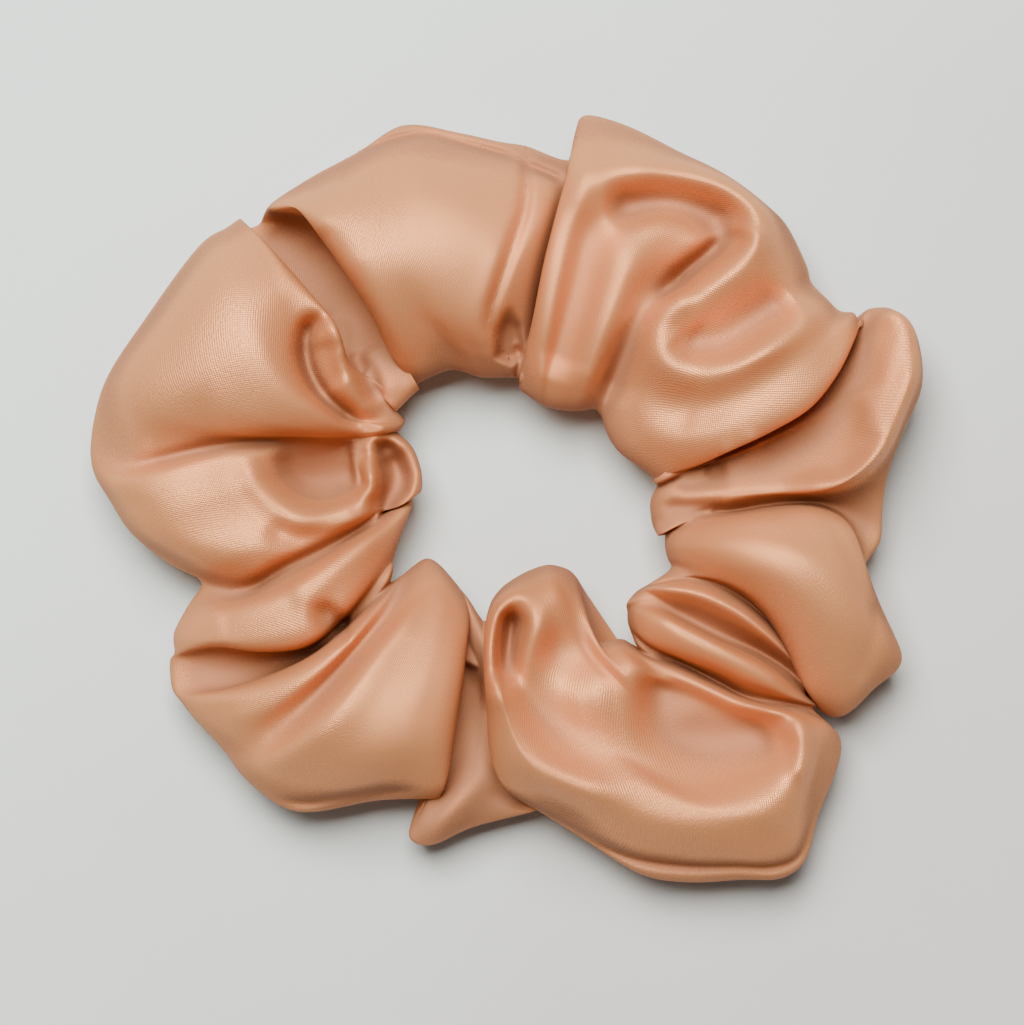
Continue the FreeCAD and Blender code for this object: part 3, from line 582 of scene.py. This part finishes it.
def finished(piece, kind, **settings):
    """The piece with one modifier worked into its mesh."""
    modifier = piece.modifiers.new(kind.lower(), kind)
    for name, value in settings.items():
        setattr(modifier, name, value)
    bpy.context.view_layer.update()
    graph = bpy.context.evaluated_depsgraph_get()
    made = bpy.data.meshes.new_from_object(
        piece.evaluated_get(graph), preserve_all_data_layers=True, depsgraph=graph)
    piece.modifiers.clear()
    piece.data = made
    return piece


CLOTH = 0.0003                 # metres
finished(cover, "SOLIDIFY", thickness=CLOTH, offset=-1)


class Socket:
    """One socket of a material's nodes. A sum or product of sockets adds its Math nodes."""

    def __init__(self, tree, socket):
        self.tree, self.socket = tree, socket

    def node(self, kind, settings=None, **inputs):
        """A node of this kind: its settings first, then its sockets' values or links."""
        made = self.tree.nodes.new(kind)
        for name, value in (settings or {}).items():
            setattr(made, name, value)
        for name, value in inputs.items():
            key = int(name[1:]) if name[1:].isdigit() else name.replace("_", " ")
            place = made.inputs[key]
            if isinstance(value, Socket):
                self.tree.links.new(value.socket, place)
            else:
                place.default_value = value
        return made

    def out(self, made, name):
        return Socket(self.tree, made.outputs[name])

    def math(self, operation, first, second=0.0):
        return self.out(self.node("ShaderNodeMath", {"operation": operation}, i0=first, i1=second), 0)

    def __add__(self, other):
        return self.math("ADD", self, other)

    def __radd__(self, other):
        return self.math("ADD", other, self)

    def __sub__(self, other):
        return self.math("SUBTRACT", self, other)

    def __rsub__(self, other):
        return self.math("SUBTRACT", other, self)

    def __mul__(self, other):
        return self.math("MULTIPLY", self, other)

    def __rmul__(self, other):
        return self.math("MULTIPLY", other, self)

    def sine(self):
        return self.math("SINE", self)

    def smooth_step(self, low, high):
        made = self.node(
            "ShaderNodeMapRange", {"interpolation_type": "SMOOTHSTEP"},
            Value=self, From_Min=low, From_Max=high)
        return self.out(made, "Result")


def colour_mix(share, first, second):
    """A Mix node between two colours."""
    made = share.node("ShaderNodeMix", {"data_type": "RGBA"}, i0=share, i6=first, i7=second)
    return share.out(made, 2)


TWILL, YARN = 0.31, 0.23       # millimetres from one line of the weave to the next
# the satin's own peach, and the darker colour of the painted shade in its folds
SATIN_LIGHT, SATIN_PAINTED_SHADE = (0.70, 0.284, 0.112, 1), (0.375, 0.156, 0.074, 1)
material = bpy.data.materials.new("satin")
material.use_nodes = True
shader = material.node_tree.nodes["Principled BSDF"]
satin = Socket(material.node_tree, None)
strip = satin.out(satin.node("ShaderNodeUVMap", {"uv_map": "strip"}), "UV")
parts = satin.node("ShaderNodeSeparateXYZ", i0=strip)
length_mm, width_mm = satin.out(parts, "X"), satin.out(parts, "Y")
# fold depth from the mesh: painted shade in the colour, and rougher, less metallic cloth in the folds
depth = satin.out(satin.node("ShaderNodeAttribute", {"attribute_name": "fold_depth_and_painted_shade"}), "Fac")
# twill of the satin's slanting floats, broken up by uneven yarns
slub = satin.out(satin.node("ShaderNodeTexNoise", Vector=strip, Scale=3.0, Detail=3.0), 0)
cloudy = satin.out(satin.node("ShaderNodeTexNoise", Vector=strip, Scale=0.08, Detail=2.0), 0)
twill = ((length_mm * 0.8 + width_mm * 0.6 + slub * 0.25) * (2 * math.pi / TWILL)).sine()
yarns = ((width_mm * 0.8 - length_mm * 0.6) * (2 * math.pi / YARN)).sine()
weave = twill * 0.45 + yarns * 0.25 + slub * 1.9
# colour: painted shade by fold depth, with random tone of the yarns and the weave lines
painted_shade_and_tone = depth + (cloudy - 0.5) * 0.12 + (slub - 0.5) * 0.55 - twill * 0.06 - yarns * 0.03
base = colour_mix(painted_shade_and_tone.smooth_step(-0.15, 1.0), SATIN_LIGHT, SATIN_PAINTED_SHADE)
bump = satin.node("ShaderNodeBump", None, Strength=0.45, Distance=0.00008, Height=weave)
satin.tree.links.new(base.socket, shader.inputs["Base Color"])
satin.tree.links.new(satin.out(bump, "Normal").socket, shader.inputs["Normal"])
satin.tree.links.new((0.54 + depth * 0.22 + (slub - 0.5) * 0.25).socket, shader.inputs["Roughness"])
satin.tree.links.new((0.62 - depth * 0.5).socket, shader.inputs["Metallic"])
shader.inputs["Specular IOR Level"].default_value = 0.1
cover.data.materials.append(material)
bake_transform(cover)
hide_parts("cover_lower", "cover_left_end", "cover_right_end")

# ------------------------------------------------------------------ elastic
# A flat braided elastic, 6 mm wide, threaded through the tube close to the hair loop. It is a
# strip of white rubber cords under spun polyester, and its ends lap by 30 degrees at +Y.
ELASTIC = {"width": 5.8, "thick": 1.2, "height": 8.9, "lap": 15.0, "stations": 330}


def band_point(turn, off, height):
    """A point off the elastic's inside face, at this turn in degrees."""
    radius = np.interp(turn % 360, np.arange(361), np.r_[band_radius, band_radius[:1]]) + off
    angle = math.radians(turn)
    return (LOOP[0] + radius * math.cos(angle), LOOP[1] + radius * math.sin(angle), height)


half, thick = ELASTIC["width"] / 2, ELASTIC["thick"]
cord_lines = np.linspace(-half * 0.94, half * 0.94, 13)
profile = [(0.12 * thick * (k % 2), z) for k, z in enumerate(cord_lines)]
profile += [(thick * 0.25, half), (thick * 0.75, half)]
profile += [(thick - 0.12 * thick * (k % 2), z) for k, z in enumerate(-cord_lines)]
profile += [(thick * 0.75, -half), (thick * 0.25, -half)]
points, faces = [], []
lap, stations = ELASTIC["lap"], ELASTIC["stations"]
for turn in np.linspace(90 - lap, 450 + lap, stations):
    outwards = (thick + 0.1) * np.clip((turn - 90 - lap) / (360 - 2 * lap), 0, 1)
    points += [band_point(turn, outwards + off, ELASTIC["height"] + z) for off, z in profile]
size = len(profile)
for step in range(stations - 1):
    for k in range(size):
        here, after = step * size + k, step * size + (k + 1) % size
        faces.append((here, after, after + size, here + size))
faces += [tuple(range(size))[::-1], tuple(range((stations - 1) * size, stations * size))]
elastic_mesh = bpy.data.meshes.new("elastic")
elastic_mesh.from_pydata([[c / 1000 for c in p] for p in points], [], faces)
elastic_mesh.polygons.foreach_set("use_smooth", [True] * (len(faces) - 2) + [False] * 2)
elastic = bpy.data.objects.new("elastic", elastic_mesh)
bpy.context.collection.objects.link(elastic)
material = bpy.data.materials.new("elastic")
material.use_nodes = True
shader = material.node_tree.nodes["Principled BSDF"]
rubber = Socket(material.node_tree, None)
place = rubber.out(rubber.node("ShaderNodeTexCoord"), "Object")
speck = rubber.out(rubber.node("ShaderNodeTexNoise", Vector=place, Scale=900.0, Detail=2.0), 0)
tall = rubber.out(rubber.node("ShaderNodeSeparateXYZ", i0=place), "Z")
cords = (tall * (2 * math.pi / 0.0009)).sine()
rubber.tree.links.new(
    colour_mix((speck * 0.6 + cords * 0.2 + 0.2), (0.75, 0.74, 0.71, 1), (0.52, 0.51, 0.48, 1)).socket,
    shader.inputs["Base Color"])
bump = rubber.node("ShaderNodeBump", None, Strength=0.5, Distance=0.0001, Height=cords + speck)
rubber.tree.links.new(rubber.out(bump, "Normal").socket, shader.inputs["Normal"])
shader.inputs["Roughness"].default_value = 0.75
elastic_mesh.materials.append(material)
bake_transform(elastic)
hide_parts("elastic_lower", "elastic_inner_end", "elastic_outer_end")

# ------------------------------------------------------------------ lap thread
# White polyester thread, 0.4 mm, in a machine zigzag through both ends of the elastic where
# they lap. It is the only thing that holds the elastic into a loop.
LAP_THREAD = 0.4


def thread_mesh(name, runs, thick, sides=7):
    """A round thread along each run of points, its ends drawn to a blunt tip."""
    points, faces = [], []
    for run in runs:
        run = np.asarray(run, float)
        ways = np.gradient(run, axis=0)
        start = len(points)
        for k, (spot, way) in enumerate(zip(run, ways)):
            way = Vector(way).normalized()
            side = way.orthogonal().normalized()
            other = way.cross(side)
            girth = thick / 2 * (0.45 if k in (0, len(run) - 1) else 1)
            for turn in range(sides):
                angle = 2 * math.pi * turn / sides
                points.append(Vector(spot) + girth * (math.cos(angle) * side + math.sin(angle) * other))
        for k in range(len(run) - 1):
            for turn in range(sides):
                here, after = start + k * sides + turn, start + k * sides + (turn + 1) % sides
                faces.append((here, after, after + sides, here + sides))
        last = start + (len(run) - 1) * sides
        faces += [tuple(range(start, start + sides))[::-1], tuple(range(last, last + sides))]
    mesh = bpy.data.meshes.new(name)
    mesh.from_pydata([[c / 1000 for c in p] for p in points], [], faces)
    mesh.polygons.foreach_set("use_smooth", [True] * len(faces))
    piece = bpy.data.objects.new(name, mesh)
    bpy.context.collection.objects.link(piece)
    return piece


def thread_material(name, light, dark):
    """Twisted polyester: two shades wound round each other."""
    material = bpy.data.materials.new(name)
    material.use_nodes = True
    shader = material.node_tree.nodes["Principled BSDF"]
    yarn = Socket(material.node_tree, None)
    place = yarn.out(yarn.node("ShaderNodeTexCoord"), "Object")
    axes = yarn.node("ShaderNodeSeparateXYZ", i0=place)
    along = yarn.out(axes, "X") + yarn.out(axes, "Y") + yarn.out(axes, "Z")
    twist = (along * (2 * math.pi / 0.0004)).sine()
    fuzz = yarn.out(yarn.node("ShaderNodeTexNoise", Vector=place, Scale=2500.0), 0)
    base = colour_mix((twist * 0.35 + fuzz * 0.6 + 0.2).smooth_step(0.0, 1.0), light, dark)
    yarn.tree.links.new(base.socket, shader.inputs["Base Color"])
    bump = yarn.node("ShaderNodeBump", None, Strength=0.4, Distance=0.00005, Height=twist + fuzz)
    yarn.tree.links.new(yarn.out(bump, "Normal").socket, shader.inputs["Normal"])
    shader.inputs["Roughness"].default_value = 0.6
    return material


zigzag = []
for step, turn in enumerate(np.linspace(90 - lap + 2, 90 + lap - 2, 19)):
    side = ELASTIC["height"] + (2.0 if step % 2 else -2.0)
    inside, outside = band_point(turn, 0.02, side), band_point(turn, 2 * thick + 0.1, side)
    zigzag += [inside, outside] if step % 2 else [outside, inside]
lap_thread = thread_mesh("lap_thread", [zigzag], LAP_THREAD)
white_thread = thread_material("white_thread", (0.85, 0.85, 0.83, 1), (0.6, 0.6, 0.58, 1))
lap_thread.data.materials.append(white_thread)
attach(lap_thread, "upper_half")
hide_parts("elastic_join_thread")

# ------------------------------------------------------------------ closing seam
# Where the tube's two ends meet they are folded in and run through with small stitches of
# matching polyester thread, all the way round the tube.
STITCH, PITCH, SUNK, SEAM_THREAD = 1.2, 2.0, 0.05, 0.2


def stitches(line, outs):
    """Runs of points for stitches along a line that lies on the cloth."""
    run = np.r_[0, np.cumsum(np.linalg.norm(np.diff(line, axis=0), axis=1))]
    made = []
    for start in np.arange(0.5, run[-1] - STITCH, PITCH):
        along = start + STITCH * np.array([0, 0.12, 0.35, 0.65, 0.88, 1])
        rise = np.array([-0.12, 0.0, 0.05, 0.05, 0.0, -0.12]) - SUNK
        spots = np.stack([np.interp(along, run, line[:, k]) for k in range(3)], 1)
        outs_here = np.stack([np.interp(along, run, outs[:, k]) for k in range(3)], 1)
        made.append(spots + outs_here * rise[:, None])
    return made


seam = np.concatenate([tube[0], tube[0, :1]])
seam_out = np.concatenate([facing[0], facing[0, :1]])
closing_thread = thread_mesh("closing_seam_thread_mesh", stitches(seam, seam_out), SEAM_THREAD)
peach = thread_material("peach_thread", (0.44, 0.16, 0.075, 1), (0.32, 0.10, 0.045, 1))
closing_thread.data.materials.append(peach)
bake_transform(closing_thread)
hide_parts("closing_seam_thread")

# ------------------------------------------------------------------ long seam
# The strip's long edges are sewn together with the same thread, inside out, and then turned:
# the line shows over the outer edge beside the closing seam, and runs on underneath round the
# rest of the ring.
SEEN = [(-20, 45.5), (-15, 47.3), (-10.5, 48.2), (-5, 46.7), (0, 45.2), (3, 43.8), (7.5, 41.8)]
column = np.full(rings_round, OVER + 7.0)
for ring in range(rings_round):
    apart, _ = off_line(tube[ring, OVER // 2:OVER, :2], SEEN)
    x, y, _ = tube[ring, OVER - 1]
    if apart.min() < 0.5 and 60 < math.degrees(math.atan2(y, x)) < 135:
        column[ring] = OVER // 2 + apart.argmin()
wrapped = np.concatenate([column, column, column])
column = np.convolve(wrapped, np.ones(9) / 9, "same")[rings_round:2 * rings_round]
spots = np.arange(rings_round)
near, share = np.floor(column).astype(int), (column % 1)[:, None]
seam = tube[spots, near] * (1 - share) + tube[spots, near + 1] * share
seam_out = facing[spots, near]
long_thread = thread_mesh("long_seam_thread", stitches(seam, seam_out), SEAM_THREAD)
long_thread.data.materials.append(peach)
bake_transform(long_thread)
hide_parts("long_seam_thread_lower", "long_seam_thread_upper")

# ------------------------------------------------------------------ floor, light, camera
# A matt white board, its colour running from a light cool grey towards -X and +Y to a darker warm
# grey towards +X and -Y: painted shade. One soft lamp leans from +Y, with the camera straight above.
bpy.ops.mesh.primitive_plane_add(size=4, location=(0, 0, 0))
floor = bpy.context.object
floor_material = bpy.data.materials.new("floor")
floor_material.use_nodes = True
floor_shader = floor_material.node_tree.nodes["Principled BSDF"]
board = Socket(floor_material.node_tree, None)
place = board.out(board.node("ShaderNodeTexCoord"), "Object")
axes = board.node("ShaderNodeSeparateXYZ", i0=place)
# painted shade across the board: darker and warmer towards +X and -Y
painted_shade_across = (board.out(axes, "X") - board.out(axes, "Y")).smooth_step(-0.12, 0.12)
mottle = board.out(board.node("ShaderNodeTexNoise", Vector=place, Scale=30.0, Detail=4.0), 0)
board.tree.links.new(
    colour_mix(painted_shade_across + (mottle - 0.5) * 0.25, (0.62, 0.685, 0.64, 1), (0.50, 0.485, 0.45, 1)).socket,
    floor_shader.inputs["Base Color"])
floor_shader.inputs["Roughness"].default_value = 0.9
floor.data.materials.append(floor_material)

world = bpy.data.worlds.new("studio")
world.use_nodes = True
world.node_tree.nodes["Background"].inputs["Color"].default_value = (0.93, 0.96, 1.0, 1)
world.node_tree.nodes["Background"].inputs["Strength"].default_value = 0.16
bpy.context.scene.world = world
lamp = bpy.data.lights.new("key", "AREA")
lamp.size = 0.6
lamp.energy = 40.0
key = bpy.data.objects.new("key", lamp)
key.location = (-0.12, 0.42, 1.08)
key.rotation_euler = (-key.location).to_track_quat("-Z", "Y").to_euler()
bpy.context.collection.objects.link(key)

CAMERA_HEIGHT, VIEW_WIDTH, SENSOR = 0.75, 0.13474, 36
lens = bpy.data.cameras.new("camera")
lens.sensor_width = SENSOR
lens.lens = SENSOR * (CAMERA_HEIGHT - 0.012) / VIEW_WIDTH    # the view's width, halfway up the puffs
camera = bpy.data.objects.new("camera", lens)
camera.location = (0.00072, -0.00178, CAMERA_HEIGHT)
bpy.context.collection.objects.link(camera)
bpy.context.scene.camera = camera
